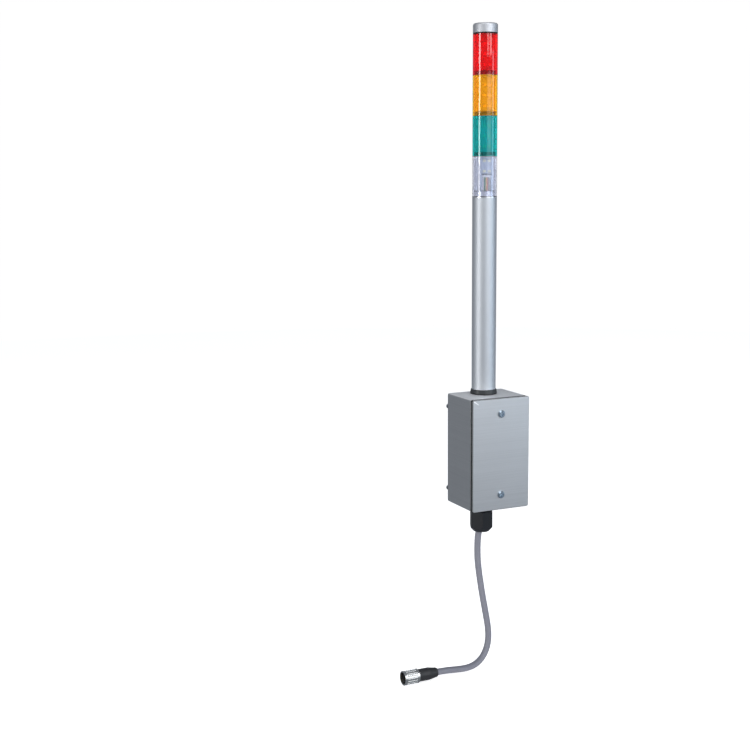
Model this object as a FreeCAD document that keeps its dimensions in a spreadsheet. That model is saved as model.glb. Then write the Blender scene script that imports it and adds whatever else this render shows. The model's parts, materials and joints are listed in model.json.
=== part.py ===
"""Stack light: a four-tier signal tower on a pole, carried by a small steel wiring box.

Millimetres. The origin is the centre of the four mounting holes, on the wall that the box
hangs on. +Z runs up the pole, the box cover faces -Y and the wall is the plane y = 0.
"""

import FreeCAD, Part
import math
import os
import re

import Sketcher

Vector = FreeCAD.Vector

# Driving dimensions. Every size that can be set by itself is written once, here.
SIZES = {
    # wiring box, folded from sheet
    "box_width": 83.0,
    "box_height": 146.0,
    "box_depth": 70.0,
    "sheet_wall": 1.9,
    "bend_inner": 0.7,
    "rim_radius": 1.5,
    "rim_width": 10.0,
    "cover_thick": 1.9,
    "cover_edge": 0.8,
    "gasket_thick": 3.6,
    "gasket_inset": 0.5,
    # mounting pads and holes
    "pad_thick": 2.5,
    "pad_radius": 3.6,
    "mount_hole": 2.25,
    "mount_from_side": 7.0,
    "mount_from_end": 18.0,
    # cover screws and the tapped brackets behind the cover
    "screw_span": 106.0,
    "screw_radius": 2.4,
    "screw_length": 10.0,
    "screw_head_radius": 4.8,
    "screw_head_height": 2.6,
    "screw_head_edge": 1.3,
    "recess_width": 1.5,
    "recess_length": 5.4,
    "recess_depth": 1.6,
    "bracket_width": 14.0,
    "bracket_depth": 15.0,
    "bracket_overhang": 8.0,
    # pole and its foot
    "tower_offset": 26.0,
    "pole_radius": 15.75,
    "pole_wall": 1.5,
    "pole_length": 247.4,
    "foot_height": 14.0,
    "foot_thread": 10.9,
    "foot_bore": 7.0,
    "collar_height": 5.3,
    "collar_base": 17.6,
    "collar_top": 16.6,
    "collar_edge": 0.7,
    "base_gasket_thick": 1.0,
    "base_gasket_radius": 17.1,
    "pole_washer_thick": 1.5,
    "pole_washer_radius": 16.0,
    "pole_nut_flats": 30.0,
    "pole_nut_thick": 5.0,
    "thread_stickout": 1.0,
    # lens stack
    "lens_height": 50.0,
    "lens_wall": 1.6,
    "seal_thick": 0.4,
    "rib_count": 24,
    "rib_width": 1.2,
    "rib_height": 0.45,
    "rib_margin": 2.5,
    "divider_thick": 1.2,
    "holder_flange": 1.5,
    "holder_plug": 14.0,
    "spigot_radius": 10.5,
    "spigot_height": 7.3,
    "spigot_bore": 6.6,
    "rod_radius": 1.25,
    "rod_rib_gap": 1.05,
    "rod_socket": 10.0,
    "rod_nut_flats": 4.4,
    "rod_nut_thick": 2.2,
    "rod_stickout": 1.0,
    "plate_thick": 1.2,
    "plate_inset": 0.4,
    "stud_radius": 3.0,
    "stud_height": 6.0,
    "cap_height": 11.6,
    "cap_wall": 1.5,
    "cap_edge": 2.4,
    "cap_socket_wall": 1.5,
    # circuit boards and lamps
    "board_width": 17.0,
    "board_thick": 1.6,
    "board_forward": 4.0,
    "leg_width": 2.2,
    "window_height": 19.6,
    "lamp_width": 3.4,
    "lamp_height": 2.8,
    "lamp_thick": 1.2,
    "lamp_pitch_x": 7.0,
    "lamp_pitch_z": 13.0,
    "header_width": 12.0,
    "header_height": 2.6,
    "header_thick": 2.8,
    # cable gland
    "gland_offset": 21.5,
    "gland_thread": 9.9,
    "gland_bore": 5.2,
    "gland_flats": 28.0,
    "gland_flange": 9.0,
    "gland_tail_thread": 10.9,
    "gland_tail": 4.0,
    "gland_washer_thick": 2.0,
    "gland_washer_radius": 15.5,
    "gland_locknut_flats": 24.0,
    "gland_locknut_thick": 5.0,
    "gland_seal_height": 5.0,
    "gland_gap": 2.0,
    "gland_dome_start": 21.4,
    "gland_nut_length": 27.5,
    "gland_nut_tip": 10.6,
    "gland_mouth_inner": 6.8,
    "gland_mouth_outer": 9.4,
    # cable and plug
    "cable_radius": 4.35,
    "tail_rise": 31.0,
    "plug_socket": 6.0,
    "plug_boot_radius": 6.0,
    "plug_body_radius": 8.2,
    "plug_boot_length": 12.0,
    "plug_body_length": 28.0,
    "plug_barrel_radius": 6.6,
    "plug_barrel_length": 18.0,
    "plug_collar_radius": 7.4,
    "plug_collar_width": 2.0,
    "plug_nut_radius": 9.5,
    "plug_nut_length": 21.0,
    "plug_nut_lip": 3.0,
    "plug_nut_bore": 7.9,
    "plug_grooves": 18,
    "plug_groove_depth": 0.7,
    "plug_well_radius": 5.4,
    "plug_well_depth": 8.0,
    "pin_radius": 0.75,
    "pin_circle": 3.2,
    "pin_seat": 4.0,
    "pin_short": 1.0,
    # terminal block and wiring
    "terminal_pitch": 10.0,
    "terminal_height": 20.0,
    "terminal_depth": 14.0,
    "terminal_end": 5.0,
    "terminal_entry": 1.5,
    "terminal_entry_depth": 5.0,
    "terminal_screw_radius": 2.2,
    "terminal_screw_length": 5.0,
    "terminal_screw_sunk": 0.8,
    "terminal_screw_inset": 5.5,
    "slot_width": 0.8,
    "slot_depth": 1.0,
    "wire_radius": 0.65,
    "wire_pitch": 2.0,
    "core_radius": 0.55,
    "core_pitch": 1.4,
    "wire_drop": 16.0,
    "wire_run_in": 14.0,
    "core_run_out": 9.0,
    "core_run_in": 10.0,
    # clearances
    "slip_gap": 0.1,
    "loose_gap": 0.2,
    "turning_gap": 0.3,
}

TIERS = ("clear", "green", "amber", "red")
WIRES = ("white", "green", "amber", "red", "common")

# How far the gland's hexagons stand turned when they are tight.
GLAND_TURN = FreeCAD.Rotation(Vector(0, 0, 1), 7.5)

# The free cable's route from the gland's seal to the plug, laid by hand.
CABLE_ROUTE = [
    (0.0, -21.5, -93.0),
    (0.0, -21.5, -102.0),
    (-3.4, -19.2, -118.0),
    (-3.6, -17.6, -139.0),
    (-1.8, -16.0, -162.0),
    (6.2, -13.2, -203.0),
    (14.4, -10.8, -238.0),
    (17.9, -10.4, -256.0),
    (17.9, -11.6, -271.5),
    (13.6, -13.8, -285.0),
    (4.6, -17.0, -295.5),
    (-8.0, -20.8, -301.2),
    (-24.0, -25.0, -302.0),
    (-43.0, -28.8, -299.0),
    (-62.0, -30.0, -297.0),
    (-78.0, -30.0, -297.0),
]

doc = FreeCAD.newDocument("StackLight")
sheet = doc.addObject("Spreadsheet::Sheet", "Sizes")
for row, (alias, value) in enumerate(SIZES.items(), start=1):
    sheet.set(f"A{row}", alias)
    sheet.set(f"B{row}", str(value))
    sheet.setAlias(f"B{row}", alias)
doc.recompute()

ALIAS = re.compile(r"\b(" + "|".join(SIZES) + r")\b")

# Levels and depths that several pieces share, as expressions of the sheet's sizes.
BOX_TOP = "(box_height / 2)"
BODY_DEPTH = "(box_depth - cover_thick - gasket_thick)"
BEND_OUTER = "(bend_inner + sheet_wall)"
BODY_FRONT = f"(pad_thick + {BODY_DEPTH})"
COVER_BACK = f"({BODY_FRONT} + gasket_thick)"
COVER_FACE = "(pad_thick + box_depth)"
COLLAR_BOTTOM = f"({BOX_TOP} + base_gasket_thick)"
POLE_BOTTOM = f"({COLLAR_BOTTOM} + collar_height)"
POLE_TOP = f"({POLE_BOTTOM} + pole_length)"
POLE_BORE = "(pole_radius - pole_wall)"
FLANGE_TOP = f"({POLE_TOP} + holder_flange)"
SPIGOT_TOP = f"({FLANGE_TOP} + spigot_height)"
TIER_PITCH = "(lens_height + seal_thick)"
STACK_TOP = f"({FLANGE_TOP} + seal_thick + {len(TIERS)} * {TIER_PITCH})"
PLATE_TOP = f"({STACK_TOP} + plate_thick)"
LENS_BORE = "(pole_radius - lens_wall)"
ROD_HOLE = "(rod_radius + slip_gap)"
ROD_OFFSET = f"({LENS_BORE} - rib_height - rod_rib_gap - rod_radius)"
WALL_INNER_TOP = f"({BOX_TOP} - sheet_wall)"
FOOT_END = f"({WALL_INNER_TOP} - pole_washer_thick - pole_nut_thick - thread_stickout)"
GLAND_HEX_TOP = f"({BOX_TOP} + gland_washer_thick)"
GLAND_HEX_END = f"({GLAND_HEX_TOP} + gland_flange)"
GLAND_TAIL_END = f"({GLAND_HEX_END} + gland_tail)"
GLAND_SEAL_END = f"({GLAND_TAIL_END} + gland_seal_height)"
GLAND_NUT_TOP = f"({GLAND_HEX_END} + gland_gap)"
GLAND_NUT_END = f"({GLAND_NUT_TOP} + gland_nut_length)"
PLUG_NUT_START = "(plug_body_length + turning_gap)"
PLUG_COLLAR_START = f"({PLUG_NUT_START} + plug_nut_lip + turning_gap)"
PLUG_FRONT = "(plug_body_length + plug_barrel_length)"
TERMINAL_WIDTH = f"({len(WIRES)} * terminal_pitch + 2 * terminal_end)"
BLOCK_BACK = "(pad_thick + sheet_wall)"
MOUNT_X = "(box_width / 2 - mount_from_side)"
MOUNT_Z = "(box_height / 2 - mount_from_end)"

parts = []


def bind(obj, prop, text):
    """Bind a property to an expression written with the sheet's aliases."""
    obj.setExpression(prop, ALIAS.sub(r"Sizes.\1", str(text)))


def place(obj, x="0", y="0", z="0", turn=None):
    """Put an object at a bound position, with an optional fixed rotation."""
    if turn:
        obj.Placement = FreeCAD.Placement(Vector(), turn)
    for axis, text in zip("xyz", (x, y, z)):
        if text != "0":
            bind(obj, f".Placement.Base.{axis}", text)
    return obj


def part(obj, label):
    """Name a finished object as a sub-part that gets a file of its own."""
    obj.Label = label
    parts.append(obj)
    return obj


def make(kind, name, **props):
    """A Part primitive with bound sizes."""
    obj = doc.addObject(f"Part::{kind}", name)
    for prop, text in props.items():
        bind(obj, prop, text)
    return obj


def cylinder(name, radius, height, x="0", y="0", z="0", turn=None):
    return place(make("Cylinder", name, Radius=radius, Height=height), x, y, z, turn)


def box(name, size, corner):
    """A block with its lowest corner at a bound position."""
    block = make("Box", name, Length=size[0], Width=size[1], Height=size[2])
    return place(block, *corner)


def hexagon(name, flats, height, x="0", y="0", z="0", turn=None):
    """A hexagonal prism of a given width across its flats."""
    prism = doc.addObject("Part::Prism", name)
    prism.Polygon = 6
    bind(prism, "Circumradius", f"({flats}) / 2 / cos(30)")
    bind(prism, "Height", height)
    return place(prism, x, y, z, turn)


def fuse(name, *shapes):
    joined = doc.addObject("Part::MultiFuse", name)
    joined.Shapes = list(shapes)
    return joined


def cut(name, base, *tools):
    """The base less its tools."""
    result = doc.addObject("Part::Cut", name)
    result.Base = base
    result.Tool = tools[0] if len(tools) == 1 else fuse(f"{name}_tools", *tools)
    return result


def group(name, members):
    """Several separate solids in one sub-part."""
    compound = doc.addObject("Part::Compound", name)
    compound.Links = list(members)
    return compound


def origin_feature(body, role):
    return next(f for f in body.Origin.OriginFeatures if f.Role == role)


def new_body(name):
    return doc.addObject("PartDesign::Body", name)


def new_sketch(body, name, role, offset="0"):
    sketch = body.newObject("Sketcher::SketchObject", name)
    sketch.AttachmentSupport = [(origin_feature(body, role), "")]
    sketch.MapMode = "FlatFace"
    if offset != "0":
        bind(sketch, "AttachmentOffset.Base.z", offset)
    return sketch


def hold_point(sketch, geometry, position, x, y):
    """Fix a sketch point by its bound distances from the sketch's axes."""
    for kind, text, axis in (("DistanceX", x, -2), ("DistanceY", y, -1)):
        if text == "0":
            sketch.addConstraint(Sketcher.Constraint("PointOnObject", geometry, position, axis))
            continue
        start = sketch.getPoint(geometry, position)
        value = start.x if kind == "DistanceX" else start.y
        index = sketch.addConstraint(Sketcher.Constraint(kind, -1, 1, geometry, position, value))
        bind(sketch, f"Constraints[{index}]", text)


def polygon(sketch, corners):
    """A closed outline through corners given as pairs of expressions."""
    count = len(corners)
    first = sketch.GeometryCount
    turn = 2 * math.pi / count
    ring = [Vector(40 + 20 * math.cos(i * turn), 40 + 20 * math.sin(i * turn), 0) for i in range(count)]
    for i in range(count):
        sketch.addGeometry(Part.LineSegment(ring[i], ring[(i + 1) % count]), False)
    for i in range(count):
        after = first + (i + 1) % count
        sketch.addConstraint(Sketcher.Constraint("Coincident", first + i, 2, after, 1))
    for i, (x, y) in enumerate(corners):
        hold_point(sketch, first + i, 1, x, y)


def rectangle(sketch, x0, y0, x1, y1):
    polygon(sketch, [(x0, y0), (x1, y0), (x1, y1), (x0, y1)])


def circle(sketch, x, y, radius):
    centre = Vector(0 if x == "0" else 5, 0 if y == "0" else 5, 0)
    index = sketch.addGeometry(Part.Circle(centre, Vector(0, 0, 1), 2), False)
    hold_point(sketch, index, 3, x, y)
    size = sketch.addConstraint(Sketcher.Constraint("Radius", index, 2.0))
    bind(sketch, f"Constraints[{size}]", radius)


def pad(body, sketch, length):
    feature = body.newObject("PartDesign::Pad", f"{sketch.Name}_pad")
    feature.Profile = sketch
    bind(feature, "Length", length)
    return feature


def pocket(body, sketch, length, along_normal=False):
    """Cut a sketch's outline away; it has to take some material with it."""
    doc.recompute()
    before = body.Shape.Volume
    feature = body.newObject("PartDesign::Pocket", f"{sketch.Name}_pocket")
    feature.Profile = sketch
    feature.Reversed = along_normal
    bind(feature, "Length", length)
    doc.recompute()
    if body.Shape.Volume > before - 1e-3:
        raise RuntimeError(f"{feature.Name} cuts nothing")
    return feature


def turned(name, profile, x="0", y="0", turn=None):
    """A body turned about its own Z axis from a closed outline of (radius, height)."""
    body = new_body(name)
    sketch = new_sketch(body, f"{name}_outline", "XZ_Plane")
    polygon(sketch, profile)
    spin = body.newObject("PartDesign::Revolution", f"{name}_turning")
    spin.Profile = sketch
    spin.ReferenceAxis = (sketch, ["V_Axis"])
    spin.Angle = 360
    return place(body, x, y, "0", turn)


def ring(name, inner, outer, low, high, x="0", y="0"):
    return turned(name, [(inner, low), (outer, low), (outer, high), (inner, high)], x, y)


def round_edges(body, radius, chosen, name):
    """Round the edges of a body's last feature that a test picks out."""
    doc.recompute()
    base = body.Tip
    edges = [f"Edge{i}" for i, edge in enumerate(base.Shape.Edges, start=1) if chosen(edge)]
    if not edges:
        raise RuntimeError(f"{name} finds no edge")
    feature = body.newObject("PartDesign::Fillet", name)
    feature.Base = (base, edges)
    bind(feature, "Radius", radius)
    return feature


def along_depth(edge):
    """A straight edge that runs along Y."""
    ends = [vertex.Point for vertex in edge.Vertexes]
    return len(ends) == 2 and abs(abs((ends[1] - ends[0]).normalize().y) - 1) < 1e-6


def depth_edge_at(half_width):
    """A test for edges along Y at this distance to either side of the middle."""
    def test(edge):
        return along_depth(edge) and abs(abs(edge.BoundBox.XMin) - half_width) < 1e-6
    return test


def lies_at_depth(depth):
    """A test for edges that lie in the plane at this distance in front of the wall."""
    def test(edge):
        bounds = edge.BoundBox
        return bounds.YLength < 1e-6 and abs(bounds.YMin + depth) < 1e-6
    return test


def highest_rim(shape_top, radius):
    """A test for the round edge of this radius at the given height."""
    def test(edge):
        curve = edge.Curve
        level = edge.BoundBox.ZMin
        round_edge = isinstance(curve, Part.Circle) and abs(curve.Radius - radius) < 1e-6
        return round_edge and abs(level - shape_top) < 1e-6
    return test


def size(alias):
    """A driving dimension, read back from the sheet."""
    return float(sheet.get(alias))


# Wiring box


def box_body():
    """Folded box with an inward rim round its open front."""
    body = new_body("box_body")
    half_width = "(box_width / 2)"
    outer = new_sketch(body, "box_outer", "XZ_Plane", "pad_thick")
    rectangle(outer, f"-{half_width}", f"-{BOX_TOP}", half_width, BOX_TOP)
    pad(body, outer, BODY_DEPTH)
    round_edges(body, BEND_OUTER, along_depth, "box_side_bends")
    back = size("pad_thick")
    front = back + size("box_depth") - size("cover_thick") - size("gasket_thick")
    round_edges(body, BEND_OUTER, lies_at_depth(back), "box_back_bends")
    round_edges(body, "rim_radius", lies_at_depth(front), "box_rim_bends")

    inner_width = f"({half_width} - sheet_wall)"
    hollow = new_sketch(body, "box_hollow", "XZ_Plane", BLOCK_BACK)
    rectangle(hollow, f"-{inner_width}", f"-{WALL_INNER_TOP}", inner_width, WALL_INNER_TOP)
    pocket(body, hollow, f"{BODY_DEPTH} - 2 * sheet_wall", along_normal=True)
    inner_x = size("box_width") / 2 - size("sheet_wall")
    round_edges(body, "bend_inner", depth_edge_at(inner_x), "box_inner_bends")

    mouth_x = f"({half_width} - rim_width)"
    mouth_z = f"({BOX_TOP} - rim_width)"
    mouth = new_sketch(body, "box_mouth", "XZ_Plane", f"{BODY_FRONT} - 2 * sheet_wall")
    rectangle(mouth, f"-{mouth_x}", f"-{mouth_z}", mouth_x, mouth_z)
    pocket(body, mouth, "3 * sheet_wall", along_normal=True)

    holes = new_sketch(body, "mount_holes", "XZ_Plane", "pad_thick - sheet_wall")
    for x_sign in ("-", ""):
        for z_sign in ("-", ""):
            circle(holes, f"{x_sign}{MOUNT_X}", f"{z_sign}{MOUNT_Z}", "mount_hole")
    pocket(body, holes, "3 * sheet_wall", along_normal=True)

    top_hole = new_sketch(body, "pole_hole", "XY_Plane", f"{WALL_INNER_TOP} - sheet_wall")
    circle(top_hole, "0", "-tower_offset", "foot_thread + loose_gap")
    pocket(body, top_hole, "3 * sheet_wall", along_normal=True)

    low_hole = new_sketch(body, "gland_hole", "XY_Plane", f"-{BOX_TOP} - sheet_wall")
    circle(low_hole, "0", "-gland_offset", "gland_thread + loose_gap")
    pocket(body, low_hole, "3 * sheet_wall", along_normal=True)
    return part(body, "box_body")


def box_cover():
    """Flat cover with softened edges and two screw holes."""
    body = new_body("box_cover")
    face = new_sketch(body, "cover_face", "XZ_Plane", COVER_BACK)
    rectangle(face, "-box_width / 2", f"-{BOX_TOP}", "box_width / 2", BOX_TOP)
    pad(body, face, "cover_thick")
    round_edges(body, BEND_OUTER, along_depth, "cover_corners")
    front = size("pad_thick") + size("box_depth")
    round_edges(body, "cover_edge", lies_at_depth(front), "cover_soft_edge")
    holes = new_sketch(body, "cover_holes", "XZ_Plane", f"{COVER_BACK} - cover_thick")
    for sign in ("-", ""):
        circle(holes, "0", f"{sign}screw_span / 2", "screw_radius + loose_gap")
    pocket(body, holes, "3 * cover_thick", along_normal=True)
    return part(body, "box_cover")


def cover_gasket():
    """Soft frame between the box rim and the cover."""
    body = new_body("cover_gasket")
    outline = new_sketch(body, "gasket_outline", "XZ_Plane", BODY_FRONT)
    x_out, z_out = "(box_width / 2 - gasket_inset)", f"({BOX_TOP} - gasket_inset)"
    x_in, z_in = "(box_width / 2 - rim_width)", f"({BOX_TOP} - rim_width)"
    rectangle(outline, f"-{x_out}", f"-{z_out}", x_out, z_out)
    rectangle(outline, f"-{x_in}", f"-{z_in}", x_in, z_in)
    pad(body, outline, "gasket_thick")
    return part(body, "cover_gasket")


def mounting_pads():
    """Four round-ended spacers that hold the box off the wall, flush with the box's sides."""
    away_from_wall = FreeCAD.Rotation(Vector(1, 0, 0), 90)
    reach = "(mount_from_side - pad_radius)"
    pads = []
    for i, x_sign in enumerate(("-", "")):
        for k, z_sign in enumerate(("-", "")):
            x, z = f"{x_sign}{MOUNT_X}", f"{z_sign}{MOUNT_Z}"
            left = cylinder(f"pad_left_{i}{k}", "pad_radius", "pad_thick", f"{x} - {reach}", "0", z, away_from_wall)
            right = cylinder(f"pad_right_{i}{k}", "pad_radius", "pad_thick", f"{x} + {reach}", "0", z, away_from_wall)
            corner = (f"{x} - {reach}", "-pad_thick", f"{z} - pad_radius")
            middle = box(f"pad_middle_{i}{k}", (f"2 * {reach}", "pad_thick", "2 * pad_radius"), corner)
            hole = cylinder(f"pad_hole_{i}{k}", "mount_hole", "pad_thick", x, "0", z, away_from_wall)
            pads.append(cut(f"pad_{i}{k}", fuse(f"pad_blank_{i}{k}", left, middle, right), hole))
    return part(group("mounting_pads", pads), "mounting_pads")


def cover_brackets():
    """Two angle brackets behind the rim, tapped for the cover screws."""
    rim_back = f"({BODY_FRONT} - sheet_wall)"
    reach = f"({WALL_INNER_TOP} - screw_span / 2 + bracket_overhang)"
    along_y = FreeCAD.Rotation(Vector(1, 0, 0), 90)
    brackets = []
    for name, sign, shelf_z, plate_z in (
        ("upper", "", f"{WALL_INNER_TOP} - sheet_wall", f"{WALL_INNER_TOP} - {reach}"),
        ("lower", "-", f"-{WALL_INNER_TOP}", f"-{WALL_INNER_TOP}"),
    ):
        shelf = box(
            f"{name}_shelf",
            ("bracket_width", "bracket_depth", "sheet_wall"),
            ("-bracket_width / 2", f"-{rim_back}", shelf_z),
        )
        plate = box(
            f"{name}_plate",
            ("bracket_width", "sheet_wall", reach),
            ("-bracket_width / 2", f"-{rim_back}", plate_z),
        )
        hole = cylinder(
            f"{name}_tapping", "screw_radius + slip_gap", "3 * sheet_wall",
            "0", f"-{rim_back} + 2 * sheet_wall", f"{sign}screw_span / 2", along_y,
        )
        brackets.append(cut(f"{name}_bracket", fuse(f"{name}_angle", shelf, plate), hole))
    return part(group("cover_brackets", brackets), "cover_brackets")


def cover_screws():
    """Two cross-recessed screws with low domed heads."""
    outward = FreeCAD.Rotation(Vector(1, 0, 0), 90)
    head_profile = [
        ("0", "-screw_length"),
        ("screw_radius", "-screw_length"),
        ("screw_radius", "0"),
        ("screw_head_radius", "0"),
        ("screw_head_radius", "screw_head_height - screw_head_edge"),
        ("screw_head_radius - screw_head_edge", "screw_head_height"),
        ("0", "screw_head_height"),
    ]
    screws = []
    for name, sign in (("upper", ""), ("lower", "-")):
        height = f"{sign}screw_span / 2"
        screw = turned(f"{name}_screw_blank", head_profile, "0", f"-{COVER_FACE}", outward)
        bind(screw, ".Placement.Base.z", height)
        floor_y = f"-{COVER_FACE} - screw_head_height"
        bars = [
            box(
                f"{name}_recess_{way}",
                (across, "recess_depth", up),
                (f"-({across}) / 2", floor_y, f"{height} - ({up}) / 2"),
            )
            for way, across, up in (
                ("bar", "recess_length", "recess_width"),
                ("post", "recess_width", "recess_length"),
            )
        ]
        screws.append(cut(f"{name}_screw", screw, *bars))
    return part(group("cover_screws", screws), "cover_screws")


# Pole


def pole():
    return part(ring("pole", POLE_BORE, "pole_radius", POLE_BOTTOM, POLE_TOP, y="-tower_offset"), "pole")


def pole_foot():
    """Threaded bush: a plug in the pole and a hollow thread down through the box top."""
    plug = f"({POLE_BORE} - slip_gap)"
    plug_top = f"({POLE_BOTTOM} + foot_height)"
    profile = [
        ("foot_bore", FOOT_END),
        ("foot_thread", FOOT_END),
        ("foot_thread", POLE_BOTTOM),
        (plug, POLE_BOTTOM),
        (plug, plug_top),
        ("foot_bore", plug_top),
    ]
    return part(turned("pole_foot", profile, y="-tower_offset"), "pole_foot")


def base_collar():
    """Tapered collar that the pole stands on."""
    bore = "(foot_thread + loose_gap)"
    profile = [
        (bore, COLLAR_BOTTOM),
        ("collar_base", COLLAR_BOTTOM),
        ("collar_top", POLE_BOTTOM),
        (bore, POLE_BOTTOM),
    ]
    body = turned("base_collar", profile, y="-tower_offset")
    top = size("box_height") / 2 + size("base_gasket_thick") + size("collar_height")
    round_edges(body, "collar_edge", highest_rim(top, size("collar_top")), "collar_soft_edge")
    return part(body, "base_collar")


def base_gasket():
    bore = "(foot_thread + loose_gap)"
    body = ring("base_gasket", bore, "base_gasket_radius", BOX_TOP, COLLAR_BOTTOM, y="-tower_offset")
    return part(body, "base_gasket")


def pole_washer():
    low = f"({WALL_INNER_TOP} - pole_washer_thick)"
    bore = "(foot_thread + loose_gap)"
    body = ring("pole_washer", bore, "pole_washer_radius", low, WALL_INNER_TOP, y="-tower_offset")
    return part(body, "pole_washer")


def pole_locknut():
    low = f"({WALL_INNER_TOP} - pole_washer_thick - pole_nut_thick)"
    at = ("0", "-tower_offset", low)
    blank = hexagon("pole_nut_blank", "pole_nut_flats", "pole_nut_thick", *at)
    bore = cylinder("pole_nut_bore", "foot_thread + slip_gap", "pole_nut_thick", *at)
    return part(cut("pole_locknut", blank, bore), "pole_locknut")


# Lens stack


def rod_places():
    """The two tie rods' positions, each side of the tower's axis."""
    return (("left", f"-{ROD_OFFSET}"), ("right", ROD_OFFSET))


def rod_holes(name, low, height):
    return [
        cylinder(f"{name}_{side}_hole", ROD_HOLE, height, x, "-tower_offset", low)
        for side, x in rod_places()
    ]


def lens_holder():
    """Plug, flange and hollow spigot on top of the pole, drilled for the tie rods."""
    plug = f"({POLE_BORE} - slip_gap)"
    plug_end = f"({POLE_TOP} - holder_plug)"
    profile = [
        ("spigot_bore", plug_end),
        (plug, plug_end),
        (plug, POLE_TOP),
        ("pole_radius", POLE_TOP),
        ("pole_radius", FLANGE_TOP),
        ("spigot_radius", FLANGE_TOP),
        ("spigot_radius", SPIGOT_TOP),
        ("spigot_bore", SPIGOT_TOP),
    ]
    blank = turned("holder_blank", profile, y="-tower_offset")
    holes = rod_holes("holder", f"{FLANGE_TOP} - rod_socket", "rod_socket + 2 * spigot_height")
    return part(cut("lens_holder", blank, *holes), "lens_holder")


def lens(tier):
    """One tier's lens: a plain tube outside, with upright light-spreading ribs inside."""
    low = f"({FLANGE_TOP} + seal_thick + {TIERS.index(tier)} * {TIER_PITCH})"
    name = f"lens_{tier}"
    body = ring(name, LENS_BORE, "pole_radius", low, f"({low} + lens_height)", y="-tower_offset")
    outline = new_sketch(body, f"{name}_rib", "XY_Plane", f"{low} + rib_margin")
    inner = f"({LENS_BORE} - rib_height)"
    rectangle(outline, inner, "-rib_width / 2", f"({LENS_BORE} + lens_wall / 4)", "rib_width / 2")
    rib = pad(body, outline, "lens_height - 2 * rib_margin")
    ribs = body.newObject("PartDesign::PolarPattern", f"{name}_ribs")
    ribs.Originals = [rib]
    ribs.Axis = (origin_feature(body, "Z_Axis"), [""])
    ribs.Angle = 360
    bind(ribs, "Occurrences", "rib_count")
    body.Tip = ribs
    return part(body, name)


def seal(name, low):
    """Thin sealing ring between two ends of the stack."""
    return part(ring(name, LENS_BORE, "pole_radius", low, f"({low} + seal_thick)", y="-tower_offset"), name)


def joint_level(index):
    """The bottom of the seal that lies under this tier."""
    return f"({FLANGE_TOP} + {index} * {TIER_PITCH})"


def divider(index):
    """White disc between two tiers, held by the rods and the boards' ends."""
    name = f"divider_{TIERS[index]}_{TIERS[index - 1]}"
    low = f"({joint_level(index)} + seal_thick / 2 - divider_thick / 2)"
    disc = cylinder(f"{name}_disc", f"{LENS_BORE} - loose_gap", "divider_thick", "0", "-tower_offset", low)
    holes = rod_holes(name, low, "divider_thick")
    return part(cut(name, disc, *holes), name)


def board_span(index):
    """The heights between which a tier's board stands."""
    half = "(seal_thick / 2 + divider_thick / 2)"
    low = SPIGOT_TOP if index == 0 else f"({joint_level(index)} + {half})"
    last = index == len(TIERS) - 1
    high = STACK_TOP if last else f"({joint_level(index + 1)} + seal_thick - {half})"
    return low, high


def board(index):
    """Upright circuit board; the lowest has a window that the wires leave through."""
    name = f"board_{TIERS[index]}"
    low, high = board_span(index)
    back = "(tower_offset + board_forward + board_thick / 2)"
    blank = box(
        f"{name}_blank",
        ("board_width", "board_thick", f"{high} - {low}"),
        ("-board_width / 2", f"-{back}", low),
    )
    if index:
        return part(blank, name)
    window = box(
        f"{name}_window",
        ("board_width - 2 * leg_width", "3 * board_thick", "window_height + board_thick"),
        ("-board_width / 2 + leg_width", f"-{back} - board_thick", f"{low} - board_thick"),
    )
    return part(cut(name, blank, window), name)


def lamps(index):
    """Light-emitting packages in two columns on the front of a tier's board."""
    name = f"lamps_{TIERS[index]}"
    low, high = board_span(index)
    if index == 0:
        low = f"({low} + window_height)"
    levels = 3 if index else 2
    front = "(tower_offset + board_forward + board_thick / 2 + lamp_thick)"
    packages = []
    for column, x in enumerate(("-lamp_pitch_x / 2", "lamp_pitch_x / 2")):
        for level in range(levels):
            height = f"({low} + {high}) / 2 + {level - (levels - 1) / 2} * lamp_pitch_z"
            corner = (f"{x} - lamp_width / 2", f"-{front}", f"{height} - lamp_height / 2")
            packages.append(
                box(f"{name}_{column}{level}", ("lamp_width", "lamp_thick", "lamp_height"), corner)
            )
    return part(group(name, packages), name)


def wire_header():
    """Connector under the edge of the lowest board's window, where the wires start."""
    block = box(
        "wire_header",
        ("header_width", "header_thick", "header_height"),
        (
            "-header_width / 2",
            "-(tower_offset + board_forward + header_thick / 2)",
            f"{SPIGOT_TOP} + window_height - header_height",
        ),
    )
    return part(block, "wire_header")


def tie_rods():
    low = f"({FLANGE_TOP} - rod_socket)"
    length = f"{PLATE_TOP} + rod_nut_thick + rod_stickout - {low}"
    rods = [
        cylinder(f"tie_rod_{side}", "rod_radius", length, x, "-tower_offset", low)
        for side, x in rod_places()
    ]
    return part(group("tie_rods", rods), "tie_rods")


def tie_nuts():
    nuts = []
    for side, x in rod_places():
        at = (x, "-tower_offset", PLATE_TOP)
        blank = hexagon(f"tie_nut_{side}_blank", "rod_nut_flats", "rod_nut_thick", *at)
        bore = cylinder(f"tie_nut_{side}_bore", ROD_HOLE, "rod_nut_thick", *at)
        nuts.append(cut(f"tie_nut_{side}", blank, bore))
    return part(group("tie_nuts", nuts), "tie_nuts")


def clamp_plate():
    """Plate that the rods pull down on the stack, with a stud for the cap."""
    at = ("0", "-tower_offset")
    disc = cylinder("plate_disc", "pole_radius - plate_inset", "plate_thick", *at, STACK_TOP)
    stud = cylinder("plate_stud", "stud_radius", "plate_thick + stud_height", *at, STACK_TOP)
    holes = rod_holes("plate", f"{STACK_TOP} - plate_thick", "3 * plate_thick")
    return part(cut("clamp_plate", fuse("plate_blank", disc, stud), *holes), "clamp_plate")


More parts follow.
